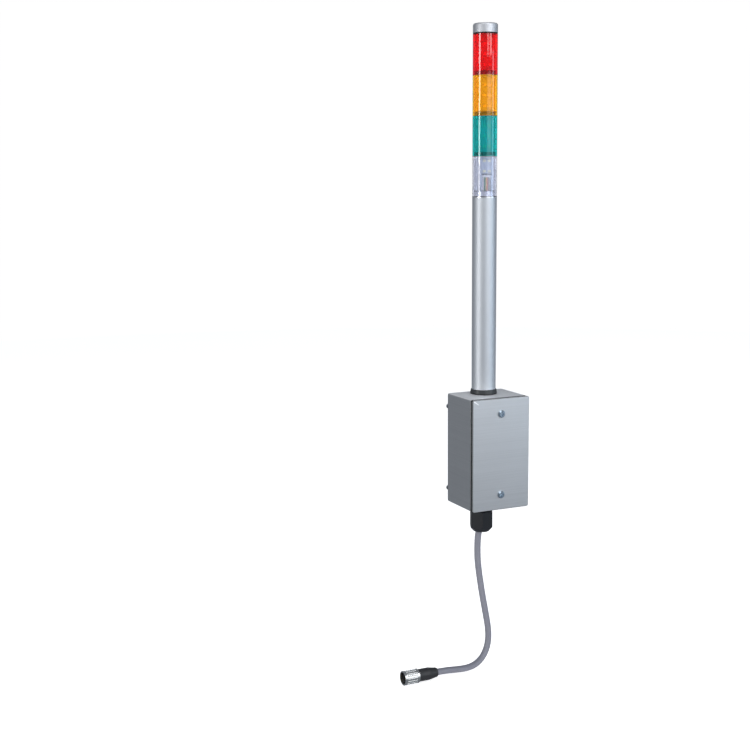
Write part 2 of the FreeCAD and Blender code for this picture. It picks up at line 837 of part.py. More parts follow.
def top_cap():
    """Hollow metal cap with a rounded top edge, pushed on the plate's stud."""
    socket_bore = "(stud_radius + slip_gap)"
    socket_wall = f"({socket_bore} + cap_socket_wall)"
    inner = "(pole_radius - cap_wall)"
    top = f"({PLATE_TOP} + cap_height)"
    roof = f"({top} - cap_wall)"
    socket_low = f"({PLATE_TOP} + slip_gap)"
    profile = [
        ("0", roof),
        (socket_bore, roof),
        (socket_bore, socket_low),
        (socket_wall, socket_low),
        (socket_wall, roof),
        (inner, roof),
        (inner, PLATE_TOP),
        ("pole_radius", PLATE_TOP),
        ("pole_radius", top),
        ("0", top),
    ]
    body = turned("top_cap", profile, y="-tower_offset")
    doc.recompute()
    rim = highest_rim(body.Shape.BoundBox.ZMax, size("pole_radius"))
    round_edges(body, "cap_edge", rim, "cap_round_edge")
    return part(body, "top_cap")


# Cable gland


def gland_washer():
    body = ring(
        "gland_washer", "gland_thread + loose_gap", "gland_washer_radius",
        f"-{GLAND_HEX_TOP}", f"-{BOX_TOP}", y="-gland_offset",
    )
    return part(body, "gland_washer")


def gland_body():
    """Thread into the box, hexagon flange and a short thread for the dome nut."""
    shank_top = f"(-{WALL_INNER_TOP} + gland_locknut_thick + thread_stickout)"
    at = ("0", "-gland_offset")
    low = f"-{GLAND_HEX_END}"
    flange = hexagon("gland_flange_hex", "gland_flats", "gland_flange", *at, low, GLAND_TURN)
    shank_length = f"{shank_top} + {GLAND_HEX_END}"
    shank = cylinder("gland_shank", "gland_thread", shank_length, *at, low)
    tail_length = "gland_tail + gland_flange"
    tail = cylinder("gland_tail_end", "gland_tail_thread", tail_length, *at, f"-{GLAND_TAIL_END}")
    bore = cylinder("gland_bore_cut", "gland_bore", f"{shank_top} + {GLAND_TAIL_END}", *at, f"-{GLAND_TAIL_END}")
    return part(cut("gland_body", fuse("gland_blank", flange, shank, tail), bore), "gland_body")


def gland_locknut():
    at = ("0", "-gland_offset", f"-{WALL_INNER_TOP}")
    blank = hexagon("gland_locknut_blank", "gland_locknut_flats", "gland_locknut_thick", *at)
    bore = cylinder("gland_locknut_bore", "gland_thread + slip_gap", "gland_locknut_thick", *at)
    return part(cut("gland_locknut", blank, bore), "gland_locknut")


def gland_seal():
    body = ring(
        "gland_seal", "cable_radius + slip_gap", "gland_tail_thread",
        f"-{GLAND_SEAL_END}", f"-{GLAND_TAIL_END}", y="-gland_offset",
    )
    return part(body, "gland_seal")


def gland_nut():
    """Hexagonal dome nut: flats above, a tapered nose below, a flared mouth for the cable."""
    at = ("0", "-gland_offset")
    low = f"-{GLAND_NUT_END}"
    blank = hexagon("gland_nut_hex", "gland_flats", "gland_nut_length", *at, low, GLAND_TURN)
    dome_level = f"-({GLAND_NUT_TOP} + gland_dome_start)"
    corner = "(gland_flats / 2 / cos(30))"
    envelope = turned("gland_nut_envelope", [
        ("0", f"-{GLAND_NUT_END}"),
        ("gland_nut_tip", f"-{GLAND_NUT_END}"),
        (corner, dome_level),
        (corner, f"-{GLAND_NUT_TOP}"),
        ("0", f"-{GLAND_NUT_TOP}"),
    ], y="-gland_offset")
    domed = doc.addObject("Part::Common", "gland_nut_domed")
    domed.Base = blank
    domed.Tool = envelope
    thread = "(gland_tail_thread + slip_gap)"
    hollow = turned("gland_nut_hollow", [
        ("0", f"-{GLAND_NUT_END}"),
        ("gland_mouth_outer", f"-{GLAND_NUT_END}"),
        ("gland_mouth_inner", f"-{GLAND_SEAL_END}"),
        (thread, f"-{GLAND_SEAL_END}"),
        (thread, f"-{GLAND_NUT_TOP}"),
        ("0", f"-{GLAND_NUT_TOP}"),
    ], y="-gland_offset")
    return part(cut("gland_nut", domed, hollow), "gland_nut")


# Terminal block


def pole_positions():
    """The sideways place of each terminal, from left to right."""
    middle = (len(WIRES) - 1) / 2
    return [f"{i - middle} * terminal_pitch" for i in range(len(WIRES))]


def terminal_block():
    """Moulded block on the back panel, with a wire hole above and below each screw."""
    low = "(-terminal_height / 2)"
    front = f"({BLOCK_BACK} + terminal_depth)"
    blank = box(
        "terminal_blank",
        (TERMINAL_WIDTH, "terminal_depth", "terminal_height"),
        (f"-{TERMINAL_WIDTH} / 2", f"-{front}", low),
    )
    holes = []
    along_y = FreeCAD.Rotation(Vector(1, 0, 0), -90)
    for i, x in enumerate(pole_positions()):
        entry_y = f"-{BLOCK_BACK} - terminal_depth / 2"
        for side, z in (("top", "terminal_height / 2 - terminal_entry_depth"), ("low", low)):
            hole = cylinder(
                f"entry_{side}_{i}", "terminal_entry", "terminal_entry_depth", x, entry_y, z,
            )
            well = cylinder(
                f"screw_well_{side}_{i}", "terminal_screw_radius + slip_gap",
                "terminal_screw_length + terminal_screw_sunk",
                x, f"-{front}", screw_level(side), along_y,
            )
            holes += [hole, well]
    return part(cut("terminal_block", blank, *holes), "terminal_block")


def screw_level(side):
    sign = "" if side == "top" else "-"
    return f"{sign}(terminal_height / 2 - terminal_screw_inset)"


def terminal_screws():
    """Slotted clamping screws, sunk a little in the block's front."""
    face = f"({BLOCK_BACK} + terminal_depth - terminal_screw_sunk)"
    along_y = FreeCAD.Rotation(Vector(1, 0, 0), -90)
    screws = []
    for i, x in enumerate(pole_positions()):
        for side in ("top", "low"):
            level = screw_level(side)
            shank = cylinder(
                f"clamp_screw_{side}_{i}", "terminal_screw_radius", "terminal_screw_length",
                x, f"-{face}", level, along_y,
            )
            slot = box(
                f"screw_slot_{side}_{i}",
                ("3 * terminal_screw_radius", "slot_depth", "slot_width"),
                (f"{x} - 1.5 * terminal_screw_radius", f"-{face}", f"{level} - slot_width / 2"),
            )
            screws.append(cut(f"terminal_screw_{side}_{i}", shank, slot))
    return part(group("terminal_screws", screws), "terminal_screws")


# Plug. Its axis runs along -X from the cable's last point.


def plug_frame(obj):
    """Turn an object's Z axis along -X and stand it at the plug's rear face."""
    end = CABLE_ROUTE[-1]
    obj.Placement.Rotation = FreeCAD.Rotation(Vector(0, 1, 0), -90)
    bind(obj, ".Placement.Base.x", f"{end[0]} + plug_socket")
    obj.Placement.Base.y = end[1]
    obj.Placement.Base.z = end[2]
    return obj


def plug_body():
    """Backshell and barrel in one moulding, with a rear socket for the cable."""
    socket = "(cable_radius + slip_gap)"
    collar_end = f"({PLUG_COLLAR_START} + plug_collar_width)"
    well = f"({PLUG_FRONT} - plug_well_depth)"
    body = turned("plug_shell", [
        ("0", "plug_socket"),
        (socket, "plug_socket"),
        (socket, "0"),
        ("plug_boot_radius", "0"),
        ("plug_body_radius", "plug_boot_length"),
        ("plug_body_radius", "plug_body_length"),
        ("plug_barrel_radius", "plug_body_length"),
        ("plug_barrel_radius", PLUG_COLLAR_START),
        ("plug_collar_radius", PLUG_COLLAR_START),
        ("plug_collar_radius", collar_end),
        ("plug_barrel_radius", collar_end),
        ("plug_barrel_radius", PLUG_FRONT),
        ("plug_well_radius", PLUG_FRONT),
        ("plug_well_radius", well),
        ("0", well),
    ])
    seats = new_sketch(body, "pin_seats", "XY_Plane", f"{well} - pin_seat")
    for x, y in pin_places():
        circle(seats, x, y, "pin_radius + slip_gap")
    pocket(body, seats, "pin_seat + plug_well_depth", along_normal=True)
    return part(plug_frame(body), "plug_body")


def pin_places():
    """Five contacts evenly round the plug's axis."""
    steps = [(math.cos(i * 0.4 * math.pi), math.sin(i * 0.4 * math.pi)) for i in range(len(WIRES))]
    return [
        (
            f"{x:.6f} * pin_circle" if abs(x) > 1e-6 else "0",
            f"{y:.6f} * pin_circle" if abs(y) > 1e-6 else "0",
        )
        for x, y in steps
    ]


def plug_contacts():
    """Round pins that stand in the plug's well."""
    start = f"({PLUG_FRONT} - plug_well_depth - pin_seat)"
    pins = []
    for i, (x, y) in enumerate(pin_places()):
        body = new_body(f"plug_pin_{i}")
        outline = new_sketch(body, f"plug_pin_{i}_outline", "XY_Plane", start)
        circle(outline, x, y, "pin_radius")
        pad(body, outline, "pin_seat + plug_well_depth - pin_short")
        pins.append(body)
    return part(plug_frame(group("plug_contacts", pins)), "plug_contacts")


def plug_nut():
    """Coupling nut that turns on the barrel, with grip grooves along it."""
    lip = "(plug_barrel_radius + turning_gap)"
    lip_end = f"({PLUG_NUT_START} + plug_nut_lip)"
    end = f"({PLUG_NUT_START} + plug_nut_length)"
    body = turned("plug_ring", [
        (lip, PLUG_NUT_START),
        ("plug_nut_radius", PLUG_NUT_START),
        ("plug_nut_radius", end),
        ("plug_nut_bore", end),
        ("plug_nut_bore", lip_end),
        (lip, lip_end),
    ])
    outline = new_sketch(body, "grip_groove", "XY_Plane", f"{PLUG_NUT_START} + plug_nut_lip")
    circle(outline, "plug_nut_radius", "0", "plug_groove_depth")
    groove = pocket(body, outline, "plug_nut_length - 2 * plug_nut_lip", along_normal=True)
    grooves = body.newObject("PartDesign::PolarPattern", "grip_grooves")
    grooves.Originals = [groove]
    grooves.Axis = (origin_feature(body, "Z_Axis"), [""])
    grooves.Angle = 360
    bind(grooves, "Occurrences", "plug_grooves")
    body.Tip = grooves
    return part(plug_frame(body), "plug_nut")


# Cable, cores and wires: tubes along straight runs joined by tangent arcs


ARC_SHARE = 0.45


def tube(name, points, radius):
    """A round tube along a route, each corner turned by the largest arc that its runs allow."""
    route = [Vector(*point) for point in points]
    edges, radii, last = [], [], route[0]
    for before, corner, after in zip(route, route[1:], route[2:]):
        way_in, way_out = corner - before, after - corner
        reach = ARC_SHARE * min(way_in.Length, way_out.Length)
        half_turn = way_in.getAngle(way_out) / 2
        radii.append(reach / math.tan(half_turn))
        start = corner - way_in.normalize() * reach
        end = corner + way_out.normalize() * reach
        bisector = (way_out - way_in).normalize()
        middle = corner + bisector * (radii[-1] / math.cos(half_turn) - radii[-1])
        edges.append(Part.LineSegment(last, start).toShape())
        edges.append(Part.Arc(start, middle, end).toShape())
        last = end
    edges.append(Part.LineSegment(last, route[-1]).toShape())
    path = Part.Wire(edges)
    heading = (route[1] - route[0]).normalize()
    section = Part.Wire([Part.Circle(route[0], heading, radius).toShape()])
    solid = path.makePipeShell([section], True, False)
    tube_object = doc.addObject("Part::Feature", name)
    tube_object.Shape = solid
    expected = math.pi * radius**2 * path.Length
    if abs(solid.Volume / expected - 1) > 1e-3:
        raise RuntimeError(f"{name} has {solid.Volume:.1f} mm3 where its length gives {expected:.1f}")
    return part(tube_object, name), path.Length, radii


def free_cable():
    _, length, radii = tube("cable", CABLE_ROUTE, size("cable_radius"))
    print(f"cable {length:.1f} mm long, arc radii", " ".join(f"{radius:.0f}" for radius in radii))


def cable_tail():
    """The cable's straight stretch through the gland, up into the box."""
    start = Vector(*CABLE_ROUTE[0])
    tail = cylinder(
        "cable_tail", "cable_radius", f"{GLAND_SEAL_END} - {BOX_TOP} + tail_rise",
        "0", "-gland_offset", f"-{GLAND_SEAL_END}",
    )
    doc.recompute()
    if (tail.Shape.BoundBox.Center - start).z < 0:
        raise RuntimeError("the cable's tail has to stand above its free length")
    return part(tail, "cable_tail")


def wiring(tail, block, header):
    """Five wires down the pole and five cores up from the cable, to the terminal block."""
    doc.recompute()
    middle = (len(WIRES) - 1) / 2
    entry = block.Shape.BoundBox
    entry_y = entry.Center.y
    seat = size("terminal_entry_depth")
    head = header.Shape.BoundBox
    sheath = tail.Shape.BoundBox
    wire_y = -(size("tower_offset") + size("board_forward"))
    for i, colour in enumerate(WIRES):
        terminal_x = (i - middle) * size("terminal_pitch")
        wire_x = (i - middle) * size("wire_pitch")
        core_x = (i - middle) * size("core_pitch")
        below_foot = size("box_height") / 2 - size("wire_drop")
        tube(f"wire_{colour}", [
            (wire_x, wire_y, head.ZMin),
            (wire_x, wire_y, below_foot),
            (terminal_x, entry_y, entry.ZMax + size("wire_run_in")),
            (terminal_x, entry_y, entry.ZMax - seat),
        ], size("wire_radius"))
        tube(f"core_{colour}", [
            (core_x, sheath.Center.y, sheath.ZMax),
            (core_x, sheath.Center.y, sheath.ZMax + size("core_run_out")),
            (terminal_x, entry_y, entry.ZMin - size("core_run_in")),
            (terminal_x, entry_y, entry.ZMin + seat),
        ], size("core_radius"))


def build():
    box_body()
    box_cover()
    cover_gasket()
    mounting_pads()
    cover_brackets()
    cover_screws()
    base_gasket()
    base_collar()
    pole()
    pole_foot()
    pole_washer()
    pole_locknut()
    lens_holder()
    seal("seal_holder", joint_level(0))
    for index, tier in enumerate(TIERS):
        lens(tier)
        board(index)
        lamps(index)
        if index:
            seal(f"seal_{tier}_{TIERS[index - 1]}", joint_level(index))
            divider(index)
    seal("seal_cap", joint_level(len(TIERS)))
    header = wire_header()
    tie_rods()
    clamp_plate()
    tie_nuts()
    top_cap()
    gland_washer()
    gland_body()
    gland_locknut()
    gland_seal()
    gland_nut()
    block = terminal_block()
    terminal_screws()
    tail = cable_tail()
    free_cable()
    wiring(tail, block, header)
    plug_body()
    plug_contacts()
    plug_nut()


def check():
    """Stop on any failed object or sub-part before anything is written."""
    doc.recompute()
    for obj in doc.Objects:
        if {"Invalid", "Error"} & set(obj.State):
            raise RuntimeError(f"{obj.Label} failed: {obj.State}")
    for obj in parts:
        if obj.Shape.isNull() or not obj.Shape.isValid() or not obj.Shape.Solids:
            raise RuntimeError(f"{obj.Label} has no valid solid")


def write():
    os.makedirs("parts", exist_ok=True)
    for obj in parts:
        obj.Shape.exportStep(f"parts/{obj.Label}.step")
    print(len(parts), "sub-parts,", sum(len(obj.Shape.Solids) for obj in parts), "solids")


build()
check()
write()
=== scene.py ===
"""Stack light: materials, cable, fine detail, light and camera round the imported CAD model.

Metres, in the model's own frame: +Z runs up the pole, the box cover faces -Y.
"""

import json
import math

import bmesh
import bpy
from mathutils import Matrix, Vector


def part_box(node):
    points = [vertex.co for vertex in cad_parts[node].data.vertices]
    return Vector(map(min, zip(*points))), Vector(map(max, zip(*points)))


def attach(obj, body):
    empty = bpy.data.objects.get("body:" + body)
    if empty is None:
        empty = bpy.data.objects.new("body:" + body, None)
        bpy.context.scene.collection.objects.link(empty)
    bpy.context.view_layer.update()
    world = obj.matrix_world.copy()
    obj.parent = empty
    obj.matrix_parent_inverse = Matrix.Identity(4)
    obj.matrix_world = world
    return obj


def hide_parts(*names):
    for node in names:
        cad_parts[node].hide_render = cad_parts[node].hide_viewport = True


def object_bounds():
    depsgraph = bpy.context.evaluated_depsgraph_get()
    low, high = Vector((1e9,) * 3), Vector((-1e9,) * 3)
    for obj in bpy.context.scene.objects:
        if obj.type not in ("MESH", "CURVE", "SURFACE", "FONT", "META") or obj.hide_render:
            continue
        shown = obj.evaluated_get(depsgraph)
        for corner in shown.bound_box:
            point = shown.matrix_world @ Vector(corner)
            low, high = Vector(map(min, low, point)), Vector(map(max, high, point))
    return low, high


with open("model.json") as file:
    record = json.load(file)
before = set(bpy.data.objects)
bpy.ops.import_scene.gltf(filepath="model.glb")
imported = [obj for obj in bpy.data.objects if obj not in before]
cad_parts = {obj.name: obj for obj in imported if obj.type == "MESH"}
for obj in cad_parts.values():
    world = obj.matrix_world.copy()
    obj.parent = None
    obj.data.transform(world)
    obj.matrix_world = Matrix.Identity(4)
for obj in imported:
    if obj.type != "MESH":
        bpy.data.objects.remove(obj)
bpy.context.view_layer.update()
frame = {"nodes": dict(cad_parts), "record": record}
nodes = frame["nodes"]

BODY = "light"
TIERS = ("clear", "green", "amber", "red")
TOWER_Y = -0.026

# Camera: an upright view from the front left, a little above the box.
CAMERA_AT = (-0.8010, -1.4342, 0.3476)
CAMERA_AZIMUTH = -24.6
CAMERA_DOWN = 8.786
CAMERA_ROLL = -0.47
CAMERA_LENS = 59.92
CAMERA_REACH = 50
SENSOR = 36.0

# Studio: every light aims at this point on the pole, and the dome stands far outside them.
LIGHTS_AIM = (0, TOWER_Y, 0.15)
WORLD_COLOUR = (0.205, 0.225, 0.25, 1)
FLOOR_RADIUS = 4.0
DOME_RADIUS = 8.0

# The middle range that the values of a noise fill, which remap spreads out.
NOISE_LOW, NOISE_HIGH = 0.3, 0.7

# Surface: size of the broad cloud, and the share of the fine grain in the sum of both.
CLOUD_SCALE = 28.0
GRAIN_SHARE = 0.65

# Brushed sheet: the noise's scale across the fine and the broad lines, and along each of them.
BRUSH_FINE = 2200
BRUSH_BROAD = 420
BRUSH_FINE_RUN = 9
BRUSH_BROAD_RUN = 3
BRUSH_FINE_SHARE = 0.7
BRUSH_TONE = 0.07
BRUSH_RELIEF = 0.000012

# A face lies flat, on top or below, where its normal's Z is above this. It is rougher, and its
# colour is made lighter as painted light.
FLAT_FROM = 0.7
FLAT_PAINTED_LIGHT = 1.4
FLAT_ROUGHER = 0.22

# A face is part of a rounded rim where its normal's Y is this near the middle; its colour is
# darkened there as painted shade.
RIM_MIDDLE = 0.5
RIM_REACH = 0.42
RIM_PAINTED_SHADE = 0.35

# Edges of the added pieces stay sharp where their faces meet at more than this many degrees.
SHARP_FROM = 38

# Liners: rings inside the foot of a tier's lens.
LINER_INNER = 0.0129
LINER_OUTER = 0.0134
LINER_STEPS = 72

# Board pins: a row of seven, and how far above the board's foot or the wire header it stands.
PIN_PLACES = range(-3, 4)
PIN_PITCH = 0.0021
PIN_RADIUS = 0.0007
PIN_REACH = 0.0011
PIN_STEPS = 14
PINS_OVER_FOOT = 0.0030
PINS_OVER_HEADER = 0.0012

# Corner crease: its ends, inward and downward from the cover's upper left corner.
CREASE_START = (0.0015, 0.0012)
CREASE_END = (0.0083, 0.0061)
CREASE_WIDTHS = ((0, 0.00015), (0.1, 0.0005), (0.5, 0.0006), (0.9, 0.0005), (1, 0.00015))
CREASE_HEIGHT_SHARE = 0.4
CREASE_SUNK = 0.00002

# Ribs on the plug's boot. The plug's axis runs along X at this Y and Z.
PLUG_AXIS = (-0.030, -0.297)
RIB_COUNT = 4
RIB_PITCH = 0.0024
RIB_FROM_END = 0.0022
RIB_STEPS = 64

# The free cable's route from the gland's seal to the plug, listed point by point.
CABLE_ROUTE = [
    (0.0, -0.0215, -0.093),
    (0.0, -0.0215, -0.102),
    (-0.0034, -0.0192, -0.118),
    (-0.0036, -0.0176, -0.139),
    (-0.0018, -0.0160, -0.162),
    (0.0062, -0.0132, -0.203),
    (0.0144, -0.0108, -0.238),
    (0.0179, -0.0104, -0.256),
    (0.0179, -0.0116, -0.2715),
    (0.0136, -0.0138, -0.2850),
    (0.0046, -0.0170, -0.2955),
    (-0.0080, -0.0208, -0.3012),
    (-0.0240, -0.0250, -0.3020),
    (-0.0430, -0.0288, -0.2990),
    (-0.0620, -0.0300, -0.2970),
    (-0.0780, -0.0300, -0.2970),
]
CABLE_DIAMETER = 0.0087
CABLE_STEPS = 24


# Node trees


def add(tree, kind, inputs=None, **settings):
    """A shader node with its settings; an input is a value or another node's output."""
    node = tree.nodes.new(f"ShaderNode{kind}")
    for name, value in settings.items():
        setattr(node, name, value)
    for name, value in (inputs or {}).items():
        if isinstance(value, bpy.types.NodeSocket):
            tree.links.new(value, node.inputs[name])
        else:
            node.inputs[name].default_value = value
    return node


def math_node(tree, operation, *inputs):
    return add(tree, "Math", dict(enumerate(inputs)), operation=operation).outputs[0]


def blended(tree, a, b, share):
    """Two values added, with this share of the first."""
    first = math_node(tree, "MULTIPLY", a, share)
    return math_node(tree, "ADD", first, math_node(tree, "MULTIPLY", b, 1 - share))


def noise(tree, place, scale, detail, roughness=0.5):
    inputs = {"Vector": place, "Scale": scale, "Detail": detail, "Roughness": roughness}
    return add(tree, "TexNoise", inputs).outputs["Fac"]


def stretched(tree, stretch):
    """Object coordinates scaled on each axis, so that a noise on them runs along a grain."""
    place = add(tree, "TexCoord").outputs["Object"]
    return add(tree, "Mapping", {"Vector": place, "Scale": stretch}).outputs["Vector"]


def remap(tree, value, low, high):
    """A noise's middle range spread over low to high."""
    inputs = {
        "Value": value,
        "From Min": NOISE_LOW,
        "From Max": NOISE_HIGH,
        "To Min": low,
        "To Max": high,
    }
    return add(tree, "MapRange", inputs).outputs["Result"]


def mixed_colour(tree, share, a, b):
    """One colour, with a share of another."""
    return add(tree, "Mix", {0: share, 6: a, 7: b}, data_type="RGBA").outputs[2]


def toned(tree, colour, value, spread):
    """A colour made lighter and darker by a noise."""
    dark = [c * (1 - spread) for c in colour] + [1]
    light = [min(1, c * (1 + spread)) for c in colour] + [1]
    return mixed_colour(tree, remap(tree, value, 0, 1), dark, light)


def scaled(colour, factor):
    return tuple(factor * c for c in colour)


def bumped(tree, height, distance):
    return add(tree, "Bump", {"Height": height, "Distance": distance}).outputs["Normal"]


def new_material(name):
    material = bpy.data.materials.new(name)
    material.use_nodes = True
    return material, material.node_tree, material.node_tree.nodes["Principled BSDF"]


def connect(tree, shader, **sockets):
    """Set or link a shader's inputs; underscores stand for spaces."""
    for name, value in sockets.items():
        socket = shader.inputs[name.replace("_", " ")]
        if isinstance(value, bpy.types.NodeSocket):
            tree.links.new(value, socket)
        else:
            socket.default_value = value


def surface(
    name, colour, roughness, grain=(1, 1, 1), scale=900.0, tone=0.06, gloss=0.04, relief=0.00002,
    **shader,
):
    """A surface whose colour, gloss and relief vary with one fine grain and one broad cloud."""
    material, tree, bsdf = new_material(name)
    fine = noise(tree, stretched(tree, grain), scale, detail=4.0)
    cloud = noise(tree, stretched(tree, (1, 1, 1)), CLOUD_SCALE, detail=2.0)
    mixed = blended(tree, fine, cloud, GRAIN_SHARE)
    connect(
        tree, bsdf,
        Base_Color=toned(tree, colour, mixed, tone),
        Roughness=remap(tree, mixed, roughness - gloss, roughness + gloss),
        Normal=bumped(tree, fine, relief),
        **shader,
    )
    return material


def brushed(name, colour, roughness):
    """Stainless sheet with level brush lines on its upright faces, and cross lines on flat ones;
    flat faces get a lighter colour as painted light, rounded rims a darker one as painted shade.
    """
    material, tree, bsdf = new_material(name)
    run, broad_run = BRUSH_FINE_RUN, BRUSH_BROAD_RUN
    fine = {"scale": 1.0, "detail": 5.0, "roughness": 0.65}
    level = noise(tree, stretched(tree, (run, run, BRUSH_FINE)), **fine)
    across = noise(tree, stretched(tree, (run, BRUSH_FINE, run)), **fine)
    broad_place = stretched(tree, (broad_run, broad_run, BRUSH_BROAD))
    broad = noise(tree, broad_place, scale=1.0, detail=3.0)
    facing = add(tree, "SeparateXYZ", {"Vector": add(tree, "NewGeometry").outputs["Normal"]})
    upward = math_node(tree, "ABSOLUTE", facing.outputs["Z"])
    flat = math_node(tree, "GREATER_THAN", upward, FLAT_FROM)
    forward = math_node(tree, "ABSOLUTE", facing.outputs["Y"])
    rim = math_node(tree, "COMPARE", forward, RIM_MIDDLE, RIM_REACH)
    grain = add(tree, "Mix", {0: flat, 2: level, 3: across}, data_type="FLOAT").outputs[0]
    both = blended(tree, grain, broad, BRUSH_FINE_SHARE)
    clean = toned(tree, colour, both, BRUSH_TONE)
    # Rounded rims: a darker copy of the sheet colour, painted shade where the edges would catch
    # highlights.
    painted_rim_shade = toned(tree, scaled(colour, RIM_PAINTED_SHADE), both, BRUSH_TONE)
    # Flat faces: a lighter copy of the sheet colour, painted light on the top and bottom faces.
    light = toned(tree, scaled(colour, FLAT_PAINTED_LIGHT), both, BRUSH_TONE)
    sheet = mixed_colour(tree, flat, clean, light)
    matt = math_node(tree, "MULTIPLY", flat, FLAT_ROUGHER)
    rough = remap(tree, both, roughness - 0.06, roughness + 0.08)
    connect(
        tree, bsdf,
        Base_Color=mixed_colour(tree, rim, sheet, painted_rim_shade),
        Roughness=math_node(tree, "ADD", rough, matt),
        Normal=bumped(tree, grain, BRUSH_RELIEF),
        Metallic=1.0,
    )
    return material


def lens(name, colour, transmission):
    """Clear coloured plastic, which light takes the colour of at each face it passes."""
    material, tree, bsdf = new_material(name)
    cloud = noise(tree, stretched(tree, (1, 1, 0.3)), scale=60.0, detail=2.0)
    connect(
        tree, bsdf,
        Base_Color=toned(tree, colour, cloud, 0.03),
        Roughness=0.04,
        Transmission_Weight=transmission,
        IOR=1.58,
        Specular_IOR_Level=0.5,
    )
    let_light_in(tree, bsdf, colour)
    return material


def let_light_in(tree, bsdf, colour):
    """Rays from lamps pass a clear face, tinted, instead of leaving a black shadow inside."""
    lamp_ray = add(tree, "LightPath").outputs["Is Shadow Ray"]
    through = add(tree, "BsdfTransparent", {"Color": (*colour, 1)}).outputs["BSDF"]
    mixed = add(tree, "MixShader", {0: lamp_ray, 1: bsdf.outputs["BSDF"], 2: through})
    tree.links.new(mixed.outputs[0], tree.nodes["Material Output"].inputs["Surface"])


def lamp_board(name, colour):
    """Pale circuit board with fine level tracks."""
    material, tree, bsdf = new_material(name)
    tracks = noise(tree, stretched(tree, (120, 1, 900)), scale=1.0, detail=2.0)
    connect(
        tree, bsdf,
        Base_Color=toned(tree, colour, tracks, 0.12),
        Roughness=remap(tree, tracks, 0.35, 0.5),
        Normal=bumped(tree, tracks, 0.00003),
    )
    return material


def plain(name, colour, glow):
    """A plain stage material with a faint mottling."""
    material, tree, bsdf = new_material(name)
    cloud = noise(tree, stretched(tree, (1, 1, 1)), scale=2.0, detail=2.0)
    connect(
        tree, bsdf,
        Base_Color=toned(tree, colour, cloud, 0.01),
        Roughness=0.9,
        Emission_Color=(1, 1, 1, 1),
        Emission_Strength=glow,
    )
    return material


# One material for each slot of the record, and painted_glint, a near-white finish that paints a
# glint on the crease.
MATERIALS = {
    "cap_metal": surface(
        "cap_metal", (0.66, 0.67, 0.70), 0.54, (1, 1, 0.1), 4000,
        tone=0.03, gloss=0.03, relief=0.000001, Metallic=1.0,
    ),
    "plate_black": surface("plate_black", (0.015, 0.013, 0.013), 0.5, Specular_IOR_Level=0.2),
    # Painted glint: near-white and barely metallic, so that the crease shows as a highlight.
    "painted_glint": surface("painted_glint", (0.97, 0.98, 1.0), 0.45, Metallic=0.1),
    "rod_steel": surface(
        "rod_steel", (0.90, 0.91, 0.92), 0.16, (1, 1, 8), 300, tone=0.03, Metallic=1.0,
    ),
    "seal_clear": surface("seal_clear", (0.20, 0.14, 0.08), 0.35, Transmission_Weight=0.6),
    "seal_dark": surface("seal_dark", (0.020, 0.010, 0.010), 0.5, Specular_IOR_Level=0.2),
    "divider_white": surface("divider_white", (0.70, 0.70, 0.68), 0.45),
    "board": lamp_board("board", (0.55, 0.62, 0.70)),
    "lamp": surface("lamp", (0.95, 0.90, 0.62), 0.25),
    "holder_metal": surface(
        "holder_metal", (0.78, 0.79, 0.82), 0.30, (1, 1, 8), 300, tone=0.05, Metallic=1.0,
    ),
    "pole_metal": surface(
        "pole_metal", (0.67, 0.695, 0.73), 0.56, (1, 1, 0.01), 4000,
        tone=0.02, gloss=0.02, relief=0.0000005, Metallic=1.0,
    ),
    "collar": surface("collar", (0.030, 0.033, 0.035), 0.42),
    "zinc": surface("zinc", (0.72, 0.71, 0.66), 0.32, tone=0.10, Metallic=1.0),
    "header": surface("header", (0.82, 0.81, 0.78), 0.45),
    "box_steel": brushed("box_steel", (0.66, 0.66, 0.67), 0.38),
    "gasket": surface("gasket", (0.008, 0.008, 0.009), 0.85, Specular_IOR_Level=0.15),
    "screw_zinc": surface("screw_zinc", (0.46, 0.55, 0.64), 0.20, tone=0.08, Metallic=1.0),
    "terminal": surface("terminal", (0.55, 0.55, 0.53), 0.45),
    "gland": surface("gland", (0.010, 0.011, 0.014), 0.36, Specular_IOR_Level=0.35),
    "cable_sheath": surface("cable_sheath", (0.19, 0.19, 0.225), 0.42),
    "plug_black": surface("plug_black", (0.020, 0.020, 0.022), 0.48),
    "plug_metal": surface("plug_metal", (0.70, 0.70, 0.69), 0.24, tone=0.08, Metallic=1.0),
    "contact": surface("contact", (0.90, 0.68, 0.30), 0.20, Metallic=1.0),
    "wire_white": surface("wire_white", (0.80, 0.80, 0.80), 0.40),
    "wire_green": surface("wire_green", (0.03, 0.28, 0.12), 0.40),
    "wire_amber": surface("wire_amber", (0.85, 0.42, 0.05), 0.40),
    "wire_red": surface("wire_red", (0.55, 0.03, 0.03), 0.40),
    "wire_common": surface("wire_common", (0.02, 0.02, 0.02), 0.40),
    "lens_red": lens("lens_red", (0.90, 0.014, 0.016), 0.93),
    "lens_amber": lens("lens_amber", (0.93, 0.56, 0.006), 0.93),
    "lens_green": lens("lens_green", (0.002, 0.55, 0.54), 0.93),
    "lens_clear": lens("lens_clear", (0.66, 0.68, 0.76), 0.94),
}


def dress_cad():
    """Every carried-over CAD node gets the finish of its slot."""
    slots = {part["node"]: part["material_slot"] for part in frame["record"]["subparts"]}
    for name, node in nodes.items():
        node.data.materials.clear()
        node.data.materials.append(MATERIALS[slots[name]])


# Pieces that the solids leave out


def sweep(form, outline, centre, steps, turn):
    """Turn a closed outline of (radius, height) points round an axis through the centre."""
    centre = Vector(centre)
    rows = []
    for step in range(steps):
        angle = math.tau * step / steps
        across = Vector((math.cos(angle), math.sin(angle), 0))
        points = [across * radius + Vector((0, 0, height)) for radius, height in outline]
        rows.append([form.verts.new(centre + turn @ point) for point in points])
    for k, row in enumerate(rows):
        following = rows[(k + 1) % steps]
        for i in range(len(outline)):
            j = (i + 1) % len(outline)
            form.faces.new((row[i], following[i], following[j], row[j]))


